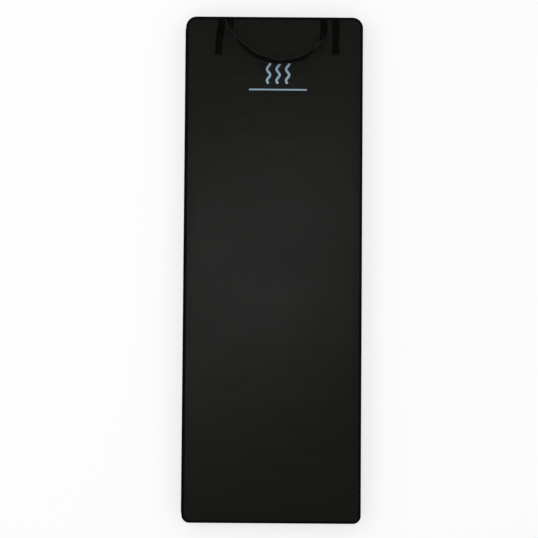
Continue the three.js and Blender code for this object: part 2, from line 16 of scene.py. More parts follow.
import bmesh
import bpy
from mathutils import Matrix, Vector
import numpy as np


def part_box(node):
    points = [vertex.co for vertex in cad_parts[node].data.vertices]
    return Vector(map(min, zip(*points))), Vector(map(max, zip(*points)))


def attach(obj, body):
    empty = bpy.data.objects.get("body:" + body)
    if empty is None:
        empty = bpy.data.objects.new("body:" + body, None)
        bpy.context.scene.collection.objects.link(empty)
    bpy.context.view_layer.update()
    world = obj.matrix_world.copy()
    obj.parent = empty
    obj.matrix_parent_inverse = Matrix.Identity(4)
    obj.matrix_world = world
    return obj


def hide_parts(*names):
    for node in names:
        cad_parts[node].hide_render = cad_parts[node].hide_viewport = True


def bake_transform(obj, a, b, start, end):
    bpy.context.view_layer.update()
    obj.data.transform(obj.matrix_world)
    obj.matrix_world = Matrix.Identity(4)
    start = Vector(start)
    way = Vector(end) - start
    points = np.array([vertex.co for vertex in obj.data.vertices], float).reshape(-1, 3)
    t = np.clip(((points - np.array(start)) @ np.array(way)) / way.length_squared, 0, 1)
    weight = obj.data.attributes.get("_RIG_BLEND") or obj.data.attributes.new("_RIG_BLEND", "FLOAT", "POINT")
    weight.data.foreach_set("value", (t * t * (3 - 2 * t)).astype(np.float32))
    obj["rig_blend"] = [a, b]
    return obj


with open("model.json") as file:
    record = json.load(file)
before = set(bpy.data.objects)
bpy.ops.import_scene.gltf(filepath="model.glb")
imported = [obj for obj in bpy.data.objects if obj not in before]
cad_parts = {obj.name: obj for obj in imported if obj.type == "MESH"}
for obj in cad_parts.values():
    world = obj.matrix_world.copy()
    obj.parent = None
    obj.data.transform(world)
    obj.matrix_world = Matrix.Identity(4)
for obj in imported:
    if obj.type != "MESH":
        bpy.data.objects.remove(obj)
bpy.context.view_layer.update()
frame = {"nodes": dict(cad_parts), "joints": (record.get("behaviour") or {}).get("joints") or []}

# %% [markdown]
# ## Sizes that everything hangs on
#
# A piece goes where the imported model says, so the panels' outlines and heights are read from their
# solids. Only what the plain solids don't hold, such as a stitch's length, is written here.

# %% The panels' places
MM = 0.001
SIDES = ("lower", "upper")
BODY_OF = {"lower": "base", "upper": "lid"}
UP = Vector((0, 0, 1))
rim = {side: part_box(f"{side}_binding") for side in SIDES}
facing = {side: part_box(f"{side}_cover") for side in SIDES}
lining = {side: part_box(f"{side}_liner") for side in SIDES}
left, right = rim["upper"][0][0], rim["upper"][1][0]
foot, head = rim["upper"][0][1], rim["upper"][1][1]
middle_x = (left + right) / 2
cover_top = facing["upper"][1][2]
bench = facing["lower"][0][2]
HEAD_CORNER = 38 * MM
FOOT_CORNER = 28 * MM
TAPE_LAP = 10 * MM
TAPE_THICK = 1.0 * MM
joints = {joint["name"]: joint for joint in frame["joints"]}
print(f"panel outline {right - left:.3f} by {head - foot:.3f} m, top face at {cover_top:.3f} m")

# %% [markdown]
# ## The camera
#
# The blanket is looked at from straight above, with a long lens, from a point a little towards the foot:
# the foot hem comes out slightly wider than the head hem. The camera is turned about its own axis by a
# fraction of a degree, as a camera on a hand-set boom is.

# %% Camera
LENS = 80.0
VIEW_DISTANCE = 4.242
VIEW_TILT = math.radians(2.0)
VIEW_ROLL = math.radians(0.43)
LOOK_AT = Vector((-0.0127, -0.0025, cover_top))


def in_scene(name, data):
    """A new object that holds the data, put in the scene."""
    made = bpy.data.objects.new(name, data)
    bpy.context.scene.collection.objects.link(made)
    return made


camera_data = bpy.data.cameras.new("camera")
camera_data.lens = LENS
camera_data.clip_end = 50
camera = in_scene("camera", camera_data)
camera.location = LOOK_AT + VIEW_DISTANCE * Vector((0, -math.sin(VIEW_TILT), math.cos(VIEW_TILT)))
lean = Matrix.Rotation(VIEW_TILT, 3, "X") @ Matrix.Rotation(VIEW_ROLL, 3, "Z")
camera.rotation_euler = lean.to_euler()
bpy.context.scene.camera = camera
print("camera at", tuple(round(v, 3) for v in camera.location))

# %% [markdown]
# ## Material building blocks
#
# Every finish is built from nodes. A small helper adds a node and sets its sockets, so that each finish
# below reads as a short recipe. A number that is the same all over the surface is set on the shader's own
# socket, and only what varies comes through a link.

# %% Node helpers
class Recipe:
    """A material's node tree, with short calls to add nodes and link them."""

    def __init__(self, name, roughness=0.6, specular=0.4, metallic=0.0, sheen=0.0, sheen_roughness=0.4):
        self.material = bpy.data.materials.new(name)
        self.material.use_nodes = True
        self.tree = self.material.node_tree
        self.shader = self.tree.nodes["Principled BSDF"]
        self.shader.inputs["Roughness"].default_value = roughness
        self.shader.inputs["Specular IOR Level"].default_value = specular
        self.shader.inputs["Metallic"].default_value = metallic
        self.shader.inputs["Sheen Weight"].default_value = sheen
        self.shader.inputs["Sheen Roughness"].default_value = sheen_roughness

    def node(self, kind, settings=None, **inputs):
        made = self.tree.nodes.new(kind)
        for key, value in (settings or {}).items():
            setattr(made, key, value)
        for key, value in inputs.items():
            self.feed(made.inputs[key.replace("_", " ")], value)
        return made

    def feed(self, socket, value):
        if isinstance(value, bpy.types.NodeSocket):
            self.tree.links.new(value, socket)
        else:
            socket.default_value = value

    def place(self):
        return self.node("ShaderNodeTexCoord").outputs["Object"]

    def cloth_place(self):
        return self.node("ShaderNodeUVMap", {"uv_map": "cloth"}).outputs["UV"]

    def noise(self, at, scale, detail=3.0, rough=0.5):
        made = self.node("ShaderNodeTexNoise", Vector=at, Scale=scale, Detail=detail, Roughness=rough)
        return made.outputs["Fac"]

    def cells(self, at, scale, feature="DISTANCE_TO_EDGE"):
        made = self.node("ShaderNodeTexVoronoi", {"feature": feature}, Vector=at, Scale=scale)
        return made.outputs["Distance"]

    def bands(self, at, period, direction):
        """Soft stripes a period apart, in metres. At a scale of 1 the node's own are 2 pi / 20 apart."""
        made = self.node("ShaderNodeTexWave", {"bands_direction": direction, "wave_profile": "SIN"},
                         Vector=at, Scale=2 * math.pi / 20 / period)
        return made.outputs["Fac"]

    def math(self, operation, a, b=0.0):
        made = self.node("ShaderNodeMath", {"operation": operation})
        self.feed(made.inputs[0], a)
        self.feed(made.inputs[1], b)
        return made.outputs[0]

    def spread(self, value, low, high, to_low=0.0, to_high=1.0):
        made = self.node("ShaderNodeMapRange", Value=value, From_Min=low, From_Max=high,
                         To_Min=to_low, To_Max=to_high)
        return made.outputs["Result"]

    def blend_colours(self, amount, first, second):
        """The Mix node holds sockets for every data type, so its colour ones are found by their type."""
        made = self.node("ShaderNodeMix", {"data_type": "RGBA"})
        sides = [socket for socket in made.inputs if socket.type == "RGBA"]
        self.feed(made.inputs[0], amount)
        for socket, colour in zip(sides, (first, second)):
            self.feed(socket, (*colour, 1.0) if isinstance(colour, tuple) else colour)
        return next(socket for socket in made.outputs if socket.type == "RGBA")

    def finish(self, colour, roughness=None, heights=()):
        self.feed(self.shader.inputs["Base Color"], colour)
        if roughness is not None:
            self.feed(self.shader.inputs["Roughness"], roughness)
        normal = None
        for height, strength, distance in heights:
            bump = self.node("ShaderNodeBump", Height=height, Strength=strength, Distance=distance)
            if normal is not None:
                self.feed(bump.inputs["Normal"], normal)
            normal = bump.outputs["Normal"]
        if normal is not None:
            self.feed(self.shader.inputs["Normal"], normal)
        return self.material


# %% [markdown]
# ## Finishes
#
# **Leatherette.** A matte synthetic leather has a pebbled grain about a millimetre across, pressed into a
# soft film. The pebbles are Voronoi cells, and a finer noise breaks up their tops. The film takes slow
# changes of gloss where hands and folds have rubbed it, which a very large noise gives.

# %% Leatherette
def leatherette(name, dark, light, roughness, grain, specular):
    """grain is how many pebbles there are to a metre."""
    r = Recipe(name, roughness=roughness, specular=specular)
    at = r.place()
    pebbles = r.spread(r.cells(at, grain), 0.0, 0.25)
    pores = r.noise(at, grain * 2.6, 2.0)
    rubbed = r.noise(at, 2.2, 4.0, 0.55)
    squeezed = r.node("ShaderNodeMapping", Vector=at, Scale=(1.0, 5.0, 1.0)).outputs["Vector"]
    folds = r.noise(squeezed, 1.4, 2.0)
    wear = r.spread(r.math("ADD", rubbed, r.math("MULTIPLY", folds, 0.5)), 0.5, 1.0)
    # The pits between the pebbles are painted darker and the pebble tops lighter, following the bump's
    # height: painted shade of the grain's relief.
    shaded_pits = r.blend_colours(pebbles, tuple(0.8 * c for c in dark), dark)
    lit_tops = r.blend_colours(pebbles, dark, light)
    colour = r.blend_colours(wear, shaded_pits, lit_tops)
    gloss = r.math("ADD", wear, r.math("MULTIPLY", pores, 0.3))
    rough = r.spread(gloss, 0.0, 1.3, roughness + 0.05, roughness - 0.04)
    return r.finish(colour, rough, [(pebbles, 0.42, 0.00013), (pores, 0.25, 0.00005)])


cover_leather = leatherette("cover_leatherette", (0.0064, 0.0065, 0.0050), (0.0082, 0.0083, 0.0066),
                            roughness=0.315, grain=900.0, specular=0.30)
back_leather = leatherette("back_leatherette", (0.0068, 0.0068, 0.0065), (0.0095, 0.0095, 0.009),
                           roughness=0.46, grain=760.0, specular=0.28)
liner_leather = leatherette("liner_film", (0.0080, 0.0080, 0.0090), (0.011, 0.011, 0.0125),
                            roughness=0.34, grain=1500.0, specular=0.40)
print("leatherette finishes:", cover_leather.name, back_leather.name, liner_leather.name)

# %% [markdown]
# **Woven tape and webbing.** Both are ribbons woven on a narrow loom, so their pattern follows the ribbon,
# not the room. Each ribbon carries a map in metres, across and along. Two sine waves, one in each
# direction, cross each other as warp and weft, and a coarser diagonal wave over them gives webbing its
# twill. Woven cloth is dull from straight above and has a soft bloom at a low angle, which is sheen.

# %% Woven finishes
def grey(value):
    return (value, value, value)


def woven(name, dark, light, thread, twill, roughness, depth, sheen, edge_highlight=None):
    """thread and twill are the distances between threads and between twill lines, in metres."""
    r = Recipe(name, roughness=roughness, specular=0.06, sheen=sheen, sheen_roughness=0.28)
    at = r.cloth_place()
    warp = r.bands(at, thread, "X")
    weft = r.bands(at, thread * 1.4, "Y")
    diagonal = r.bands(at, twill, "DIAGONAL")
    height = r.math("ADD", r.math("MULTIPLY", warp, weft), r.math("MULTIPLY", diagonal, 0.5))
    lint = r.noise(at, 1.5 / thread, 2.0)
    rubbed = r.noise(r.place(), 28.0, 3.0)
    # The raised threads are painted lighter and the hollows between them darker, following the weave's
    # height: painted shade of its relief. The rubbed noise adds a random tone of wear on top.
    shade = r.spread(r.math("ADD", height, r.math("MULTIPLY", rubbed, 0.8)), 0.2, 1.7)
    rough = r.spread(lint, 0.2, 0.8, roughness - 0.08, roughness + 0.08)
    colour = r.blend_colours(shade, dark, light)
    # A lighter colour along the selvedges, mottled by the rubbed noise, is a painted highlight: the rounded
    # edges catching the lamp's light.
    if edge_highlight:
        tag = r.node("ShaderNodeAttribute", {"attribute_name": "selvedge"}).outputs["Fac"]
        edge_highlight_mask = r.math("MULTIPLY", r.spread(tag, 0.93, 0.99), r.spread(rubbed, 0.3, 0.6))
        colour = r.blend_colours(edge_highlight_mask, colour, edge_highlight)
    return r.finish(colour, rough, [(height, 0.7, depth), (lint, 0.2, 0.00005)])


edge_weave = woven("edge_tape_weave", grey(0.0005), grey(0.0022), thread=0.0008, twill=0.0034,
                   roughness=0.85, depth=0.00016, sheen=0.05)
strap_weave = woven("webbing_weave", (0.0004, 0.0004, 0.0001), (0.0026, 0.0024, 0.0008), thread=0.0012,
                    twill=0.0048, roughness=0.8, depth=0.0003, sheen=0.08, edge_highlight=(0.046, 0.043, 0.042))
zip_weave = woven("zip_tape_weave", grey(0.002), grey(0.008), thread=0.0006, twill=0.0024,
                  roughness=0.8, depth=0.00012, sheen=0.08)
print("woven finishes:", edge_weave.name, strap_weave.name, zip_weave.name)

# %% [markdown]
# **Thread, hook and loop, print, metal and plastics.** These are small, so each recipe is short: the grain
# or pile that shows from a hand's breadth, and the uneven gloss that handling gives.

# %% Small finishes
def grained(name, dark, light, scale, roughness, depth, specular=0.4, metallic=0.0, sheen=0.0):
    """A fine grain, scale grains to a metre, in a surface whose gloss wanders."""
    r = Recipe(name, roughness=roughness, specular=specular, metallic=metallic, sheen=sheen)
    at = r.place()
    fine = r.noise(at, scale, 4.0, 0.6)
    broad = r.noise(at, scale / 14.0, 3.0)
    shade = r.spread(r.math("ADD", fine, broad), 0.6, 1.4)
    colour = r.blend_colours(shade, dark, light)
    rough = r.spread(broad, 0.3, 0.7, roughness - 0.08, roughness + 0.08)
    return r.finish(colour, rough, [(fine, 0.5, depth)])


def piled(name, dark, light, tufts, roughness, depth, sheen):
    """Tufts with fuzz on them, tufts to a metre."""
    r = Recipe(name, roughness=roughness, specular=0.15, sheen=sheen)
    at = r.place()
    pile = r.cells(at, tufts, "F1")
    fuzz = r.noise(at, tufts * 1.7, 5.0, 0.7)
    shade = r.spread(r.math("MULTIPLY", pile, fuzz), 0.0, 0.5)
    colour = r.blend_colours(shade, dark, light)
    return r.finish(colour, heights=[(pile, 0.9, depth), (fuzz, 0.6, depth / 2)])


thread_black = grained("sewing_thread", grey(0.006), grey(0.020), 5200.0, 0.62, 0.0001, 0.3, sheen=0.05)
print_blue = grained("printed_mark", (0.30, 0.46, 0.58), (0.40, 0.56, 0.68), 1300.0, 0.55, 0.00004, 0.3)
tooth_plastic = grained("zip_tooth_plastic", grey(0.004), grey(0.009), 1500.0, 0.32, 0.00003)
inlet_plastic = grained("inlet_housing_plastic", (0.008, 0.008, 0.009), (0.016, 0.016, 0.017), 1800.0, 0.45,
                        0.00005)
wire_silicone = grained("heating_wire_silicone", (0.16, 0.02, 0.012), (0.30, 0.045, 0.03), 2100.0, 0.5,
                        0.00004)
lead_rubber = grained("lead_insulation", grey(0.015), grey(0.035), 1900.0, 0.5, 0.00004)
sensor_shell = grained("sensor_shell", (0.55, 0.48, 0.32), (0.72, 0.66, 0.48), 1600.0, 0.42, 0.00003)
black_metal = grained("black_plated_zinc", (0.018, 0.018, 0.019), (0.06, 0.06, 0.064), 900.0, 0.34, 0.00003,
                      specular=0.5, metallic=0.85)
pin_brass = grained("contact_brass", (0.45, 0.27, 0.06), (0.72, 0.47, 0.14), 1200.0, 0.25, 0.00002,
                    specular=0.5, metallic=1.0)
bright_foil = grained("reflector_foil", (0.62, 0.63, 0.65), (0.86, 0.87, 0.88), 140.0, 0.22, 0.0006,
                      specular=0.5, metallic=1.0)
hook_pile = piled("hook_tape", grey(0.004), (0.020, 0.020, 0.021), 1100.0, 0.7, 0.0005, 0.03)
loop_pile = piled("loop_tape", grey(0.006), (0.026, 0.026, 0.027), 700.0, 0.95, 0.0006, 0.12)
fluffy_wadding = piled("needled_wadding", (0.42, 0.41, 0.38), (0.74, 0.73, 0.68), 420.0, 0.95, 0.0008, 0.2)
pressed_felt = piled("pressed_felt", (0.26, 0.23, 0.18), (0.52, 0.47, 0.38), 640.0, 0.95, 0.0005, 0.15)
print("finishes:", len(bpy.data.materials))

# %% [markdown]
# ## Shaping helpers
#
# Most of the blanket is a strip of something that follows a line: edge tape round a panel, webbing along a
# handle, a zip down a side. So one helper sweeps a section along a line. It starts from a ring of vertices
# and extrudes that ring from station to station, as pulling a strip through a die does. It also writes a
# flat map in metres, so that the weave follows the strip.

# %% Turning a bmesh into a piece
def mesh_of(name, bm):
    mesh = bpy.data.meshes.new(name)
    bm.to_mesh(mesh)
    bm.free()
    return mesh


def make_piece(name, bm, finish, body=None, turn_faces_out=True):
    """A piece without a body is given its bodies afterwards, by a blend."""
    if turn_faces_out:
        bmesh.ops.recalc_face_normals(bm, faces=bm.faces)
    mesh = mesh_of(name, bm)
    mesh.materials.append(finish)
    mesh.shade_smooth()
    piece = in_scene(name, mesh)
    if body:
        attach(piece, body)
    print(f"{name}: {len(mesh.polygons)} faces")
    return piece


# %% Sweeping a section along stations
def sweep(section, stations, closed=False):
    """section is a ring of (across, up) points, and each station is a matrix that puts it in place."""
    bm = bmesh.new()
    across_tag = bm.verts.layers.float.new("across")
    along_tag = bm.verts.layers.float.new("along")
    ring = [bm.verts.new(stations[0] @ Vector((a, u, 0))) for a, u in section]
    travelled = 0.0
    for vert, (point, before) in zip(ring, zip(section, [section[0], *section])):
        travelled += math.dist(point, before)
        vert[across_tag] = travelled
    perimeter = travelled + math.dist(section[-1], section[0])
    edges = [bm.edges.new((a, b)) for a, b in zip(ring, ring[1:] + ring[:1])]
    first_edges, first_verts = list(edges), list(ring)
    length = 0.0
    for before, after in zip(stations, stations[1:]):
        length += (after.translation - before.translation).length
        made = bmesh.ops.extrude_edge_only(bm, edges=edges)["geom"]
        verts = [g for g in made if isinstance(g, bmesh.types.BMVert)]
        edges = [g for g in made if isinstance(g, bmesh.types.BMEdge) and g.is_boundary]
        bmesh.ops.transform(bm, matrix=after @ before.inverted(), verts=verts)
        for vert in verts:
            vert[along_tag] = length
    cloth = bm.loops.layers.uv.new("cloth")
    for face in bm.faces:
        across = [loop.vert[across_tag] for loop in face.loops]
        wraps = max(across) - min(across) > perimeter / 2
        for loop, a in zip(face.loops, across):
            if wraps and a < perimeter / 2:
                a += perimeter
            loop[cloth].uv = (a, loop.vert[along_tag])
    if closed:
        bmesh.ops.remove_doubles(bm, verts=first_verts + verts, dist=0.001 * MM)
    else:
        bmesh.ops.contextual_create(bm, geom=first_edges)
        bmesh.ops.contextual_create(bm, geom=edges)
    return bm


def station(point, across, up, along):
    """A matrix that turns a section's across and up directions to these, at a point."""
    turned = Matrix((across, up, along)).transposed().to_4x4()
    return Matrix.Translation(point) @ turned


def strip_section(width, thickness, rounding=3):
    """A flat strip's section: straight faces, and half-round selvedges of a few points each."""
    radius = thickness / 2
    half = width / 2 - radius
    turns = [math.pi * k / rounding for k in range(rounding + 1)]
    right_edge = [(half + radius * math.sin(t), -radius * math.cos(t)) for t in turns]
    left_edge = [(-half - radius * math.sin(t), radius * math.cos(t)) for t in turns]
    under = [(half * f, -radius) for f in (-1 / 3, 1 / 3)]
    over = [(half * f, radius) for f in (1 / 3, -1 / 3)]
    return [*under, *right_edge, *over, *left_edge]


# %% [markdown]
# ## The panel's outline
#
# A panel is a rectangle with a larger radius at its two head corners than at its two foot corners. This
# walk goes once round it, at a chosen distance inside, and gives each point with its outward direction.
# Edge tape, stitches and the zip are all set out along it.

# %% Walking round the rim
CORNERS = ((right, foot, FOOT_CORNER, 270), (right, head, HEAD_CORNER, 0),
           (left, head, HEAD_CORNER, 90), (left, foot, FOOT_CORNER, 180))
CORNER_STEPS = 9
RIM_SPACING = 9 * MM


def spaced(start, end, spacing):
    """Points from start to end, leaving out both ends, about a spacing apart."""
    count = max(1, round((end - start).length / spacing))
    return [start.lerp(end, k / count) for k in range(1, count)]


def rim_walk(inset, spacing):
    walk = []
    for x, y, corner, start in CORNERS:
        hub = Vector((x - math.copysign(corner, x - middle_x), y - math.copysign(corner, y)))
        for k in range(CORNER_STEPS + 1):
            angle = math.radians(start + 90 * k / CORNER_STEPS)
            outward = Vector((math.cos(angle), math.sin(angle)))
            point = hub + outward * (corner - inset)
            if k == 0 and walk:
                walk += [(p, outward) for p in spaced(walk[-1][0], point, spacing)]
            walk.append((point, outward))
    walk += [(p, walk[0][1]) for p in spaced(walk[-1][0], walk[0][0], spacing)]
    return walk + walk[:1]


def evenly(walk, pitch):
    """The same line as points a fixed pitch apart: (point, outward, heading)."""
    points, due = [], pitch / 2
    for (a, out_a), (b, out_b) in zip(walk, walk[1:]):
        step = (b - a).length
        while due <= step:
            t = due / step
            points.append((a.lerp(b, t), out_a.lerp(out_b, t).normalized(), (b - a).normalized()))
            due += pitch
        due -= step
    return points


def edge_distance(x, y):
    """How far a point lies inside the panel's outline."""
    corner = HEAD_CORNER if y > 0 else FOOT_CORNER
    dx = (right - left) / 2 - abs(x - middle_x)
    dy = (head - foot) / 2 - abs(y)
    if dx < corner and dy < corner:
        return corner - math.hypot(corner - dx, corner - dy)
    return min(dx, dy)


print(f"rim: {len(rim_walk(0, RIM_SPACING))} stations")

# %% [markdown]
# ## Where the webbing runs
#
# The handle and the tabs lie on the upper panel. Each is a route of a few points: across the blanket, down
# from the head hem, tilt, and lift. At a tilt of 180 degrees the webbing lies flat. The handle's ends are
# sewn in flat, and on its way round the loop it turns up on its edge and leans into the loop, because
# webbing won't curve sideways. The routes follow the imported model's. Each has its root added, where the
# webbing dips under the edge tape, and the handle turns up from the hem a little sooner at its left end.

# %% Routes
strap_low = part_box("right_tab")[0][2]
WEB_WIDTH = 30 * MM
WEB_THICK = 1.5 * MM


def middle_across(node):
    """Where a node's middle lies across the blanket, in millimetres."""
    low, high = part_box(node)
    return (low[0] + high[0]) / 2 / MM


handle_ends = [middle_across(f"{side}_handle_anchor") for side in ("left", "right")]
tab_x = {side: middle_across(f"{side}_tab_anchor") for side in ("left", "right")}
ROOT = [(4, 180, -1.45), (10.5, 180, -1.0), (18.5, 180, 0)]
PAD_START = 76
PAD_LIFT = 1.3
HEM_LAYERS = 1.75
handle_route = [
    *[(handle_ends[0], *point) for point in ROOT], (handle_ends[0] + 1, 28, 160, 0),
    (-154.5, 46, 126, 0), (-146.5, 66, 96, 0), (-131, 90, 70, 0), (-86, 129, 60, 0), (-40, 153, 63, 0),
    (18, 165, 70, 0), (92, 154, 66, 0), (131, 132, 70, 0), (153, 110, 84, 0), (165, 92, 108, 0),
    (173, 74, 146, 0), (177, 56, 176, 0), (handle_ends[1], 38, 180, 0),
    *[(handle_ends[1], *point) for point in reversed(ROOT)],
]


def tab_route(x, drift, length):
    """A tab drifts sideways towards its free end, which its hook pad lifts."""
    return [
        *[(x, *point) for point in ROOT], (x, 30.5, 180, 0), (x + drift * 0.35, PAD_START - 22, 180, 0),
        (x + drift * 0.6, PAD_START - 4, 180, PAD_LIFT), (x + drift * 0.8, 104, 180, PAD_LIFT),
        (x + drift, length, 180, PAD_LIFT),
    ]


def catmull(points, steps):
    """A smooth line through the points, with the same number of steps between each two."""
    ends = [tuple(2 * a - b for a, b in zip(points[0], points[1])),
            tuple(2 * a - b for a, b in zip(points[-1], points[-2]))]
    row = [ends[0], *points, ends[1]]
    line = []
    for p0, p1, p2, p3 in zip(row, row[1:], row[2:], row[3:]):
        for k in range(steps):
            t = k / steps
            line.append(tuple(
                b + 0.5 * t * (c - a + t * (2 * a - 5 * b + 4 * c - d + t * (3 * (b - c) + d - a)))
                for a, b, c, d in zip(p0, p1, p2, p3)))
    return line + [tuple(points[-1])]


def webbing_stations(route, steps, hem=0.0):
    """Stations for a webbing section. A tab's last stretch, a hem long, is folded double."""
    line = catmull([tuple(float(v) for v in point) for point in route], steps)
    places = [Vector((x * MM, head - drop * MM, 0)) for x, drop, _, _ in line]
    stations = []
    for i, (place, (_, drop, tilt, lift)) in enumerate(zip(places, line)):
        along = (places[min(i + 1, len(places) - 1)] - places[max(i - 1, 0)]).normalized()
        inside = UP.cross(along)
        angle = math.radians(min(tilt, 180.0))
        across = inside * math.cos(angle) + UP * math.sin(angle)
        through = along.cross(across)
        rise = abs(across.z) * WEB_WIDTH / 2 + abs(through.z) * WEB_THICK / 2
        layers = HEM_LAYERS if hem and (places[-1] - place).length < hem else 1.0
        centre = place + UP * (strap_low + lift * MM + rise + (layers - 1) * WEB_THICK / 2)
        stations.append(station(centre, across, through * layers, along))
    return stations


strap_places = [x * MM for x in (*handle_ends, tab_x["left"], tab_x["right"])]
print("webbing roots across the hem:", [round(x, 3) for x in strap_places])

# %% [markdown]
# ## Padded skins
#
# The two covers and the two liners are sheets of leatherette, sewn down at the rim over soft wadding. The
# skin could be a flat plate with a rounded edge, but a sewn skin is never flat: it sinks under the edge
# tape, rises over the wadding, and has slack that puckers. So a grid is cut to the panel's outline, pinned
# at the rim, made a little larger than its space, and left to settle as cloth. What the cloth adds is kept
# small, because the skin is backed by wadding all over.

# %% A grid cut to the panel's outline
SKIN_SPACING = 8 * MM
SKIN_INSET = 2 * MM
SKIN_THICK = 1.0 * MM
PIN_DEPTH = 13 * MM


def smooth(t):
    t = min(max(t, 0.0), 1.0)
    return t * t * (3 - 2 * t)


def round_corner(x, y):
    """Draws the square corner of a grid in to the panel's round one."""
    corner = (HEAD_CORNER if y > 0 else FOOT_CORNER) - SKIN_INSET
    u = abs(x - middle_x) - ((right - left) / 2 - SKIN_INSET - corner)
    v = abs(y) - ((head - foot) / 2 - SKIN_INSET - corner)
    if u <= 0 or v <= 0:
        return x, y
    pull = 1 - max(u, v) / math.hypot(u, v)
    return x - math.copysign(u * pull, x - middle_x), y - math.copysign(v * pull, y)


def skin_grid():
    bm = bmesh.new()
    width, length = right - left - 2 * SKIN_INSET, head - foot - 2 * SKIN_INSET
    columns, rows = round(width / SKIN_SPACING), round(length / SKIN_SPACING)
    bmesh.ops.create_grid(bm, x_segments=columns, y_segments=rows, size=0.5)
    bmesh.ops.scale(bm, vec=(width, length, 1), verts=bm.verts)
    bmesh.ops.translate(bm, vec=(middle_x, 0, 0), verts=bm.verts)
    for vert in bm.verts:
        vert.co.x, vert.co.y = round_corner(vert.co.x, vert.co.y)
    return bm


# %% Letting the skin settle
CLOTH_FRAMES = 12
SLACK = -0.02
RELIEF_CAP = 3.0 * MM
START_RIPPLE = 0.0006
START_WAVE = 0.0004


def settled_relief(phase):
    """How far each vertex of the skin's grid rises, as a share of the cap, once slack cloth settles."""
    bm = skin_grid()
    for vert in bm.verts:
        x, y, _ = vert.co
        ripple = math.sin(x * 31 + phase) * math.sin(y * 17 + 2 * phase)
        vert.co.z = START_RIPPLE * ripple + START_WAVE * math.sin(y * 53 + 3 * phase)
    pinned = [v.index for v in bm.verts if edge_distance(v.co.x, v.co.y) < PIN_DEPTH]
    sheet = in_scene("settling", mesh_of("settling", bm))
    sheet.vertex_groups.new(name="sewn").add(pinned, 1.0, "REPLACE")
    cloth = sheet.modifiers.new("cloth", "CLOTH")
    cloth.settings.vertex_group_mass = "sewn"
    cloth.settings.quality = 4
    cloth.settings.mass = 0.4
    cloth.settings.bending_stiffness = 2.0
    cloth.settings.shrink_min = SLACK
    cloth.settings.effector_weights.gravity = 0.0
    cloth.collision_settings.use_collision = False
    cloth.point_cache.frame_start, cloth.point_cache.frame_end = 1, CLOTH_FRAMES
    for number in range(1, CLOTH_FRAMES + 1):
        bpy.context.scene.frame_set(number)
    settled = sheet.evaluated_get(bpy.context.evaluated_depsgraph_get()).data
    relief = [max(-RELIEF_CAP, min(RELIEF_CAP, v.co.z)) / RELIEF_CAP for v in settled.vertices]
    bpy.context.scene.frame_set(1)
    bpy.data.objects.remove(sheet)
    return relief


reliefs = {}
for side, phase in (("upper", 0.7), ("lower", 2.1)):
    reliefs[side] = settled_relief(phase)
    print(f"{side} skin relief: {min(reliefs[side]):.2f} to {max(reliefs[side]):.2f} of its cap")

# %% The four skins
RISE_START = TAPE_LAP * 0.9
RISE_WIDTH = 26 * MM
FIELD_RELIEF = 0.2 * MM
PUCKER = 0.12 * MM
PUCKER_LINE = 16 * MM
PUCKER_SPREAD = 9 * MM
END_BAND = 40 * MM
UNDER_TAPE = 0.95 * MM


def pucker(x, y, depth):
    """The gathers that sewing leaves beside the edge tape: two waves that beat along the rim."""
    along = x if abs(y) > head - END_BAND else y
    waves = math.sin(along * 420) * math.sin(along * 173 + 1.3)
    return waves * math.exp(-((depth - PUCKER_LINE) / PUCKER_SPREAD) ** 2)


def padded_skin(name, side, at_rim, at_middle, finish, faces_up):
    """A skin that lies at one height under the edge tape and rises to another over the wadding."""
    bm = skin_grid()
    lift = 1 if faces_up else -1
    for vert, relief in zip(bm.verts, reliefs[side]):
        x, y, _ = vert.co
        depth = edge_distance(x, y)
        rise = smooth((depth - RISE_START) / RISE_WIDTH)
        level = at_rim + (at_middle - at_rim) * rise
        vert.co.z = level + lift * (FIELD_RELIEF * relief * rise + PUCKER * pucker(x, y, depth))
    if not faces_up:
        bmesh.ops.reverse_faces(bm, faces=bm.faces)
    piece = make_piece(name, bm, finish, BODY_OF[side], turn_faces_out=False)
    wall = piece.modifiers.new("thickness", "SOLIDIFY")
    wall.thickness, wall.offset = SKIN_THICK, -1.0
    return piece


rim_top, rim_low = rim["upper"][1][2], rim["lower"][0][2]
pocket_top, pocket_low = rim["upper"][0][2], rim["lower"][1][2]
upper_cover = padded_skin("upper_cover_skin", "upper", rim_top - UNDER_TAPE, cover_top - 0.25 * MM,
                          cover_leather, faces_up=True)
lower_cover = padded_skin("lower_cover_skin", "lower", rim_low + UNDER_TAPE, bench + 0.5 * MM,
                          back_leather, faces_up=False)
upper_liner = padded_skin("upper_liner_skin", "upper", pocket_top + UNDER_TAPE,
                          lining["upper"][0][2] + 0.3 * MM, liner_leather, faces_up=False)
lower_liner = padded_skin("lower_liner_skin", "lower", pocket_low - UNDER_TAPE,
                          lining["lower"][1][2] - 0.3 * MM, liner_leather, faces_up=True)
skins = (("upper", upper_cover, upper_liner), ("lower", lower_cover, lower_liner))
for side, cover, liner in skins:
    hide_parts(f"{side}_cover")
    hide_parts(f"{side}_liner")

# %% [markdown]
# ## Edge tape
#
# A woven tape is folded round each panel's rim and sewn through. Its section is a U: two laps about ten
# millimetres wide, and a round turn where the tape goes over the padded edge. The section is swept once
# round the panel. Where webbing is sewn in under it, at the head hem, the tape rides up over the webbing.

# %% The U section and the sweep
RIM_STEPS = 9
SQUARENESS = 2.7
LAP_DROOP = 0.15 * MM
ROOT_RISE = 1.8 * MM
ROOT_HALF_WIDTH = 22.5 * MM
ROOT_EASE = 6.5 * MM
ROOT_DEPTH = 16.5 * MM
HEM_EASE = 4 * MM
LAP_FROM = 0.55
LAP_EASE = 0.3
RIPPLE = 0.07 * MM
RIPPLE_WAVES = ((95, 1.0), (221, 0.6), (37, 0.4))


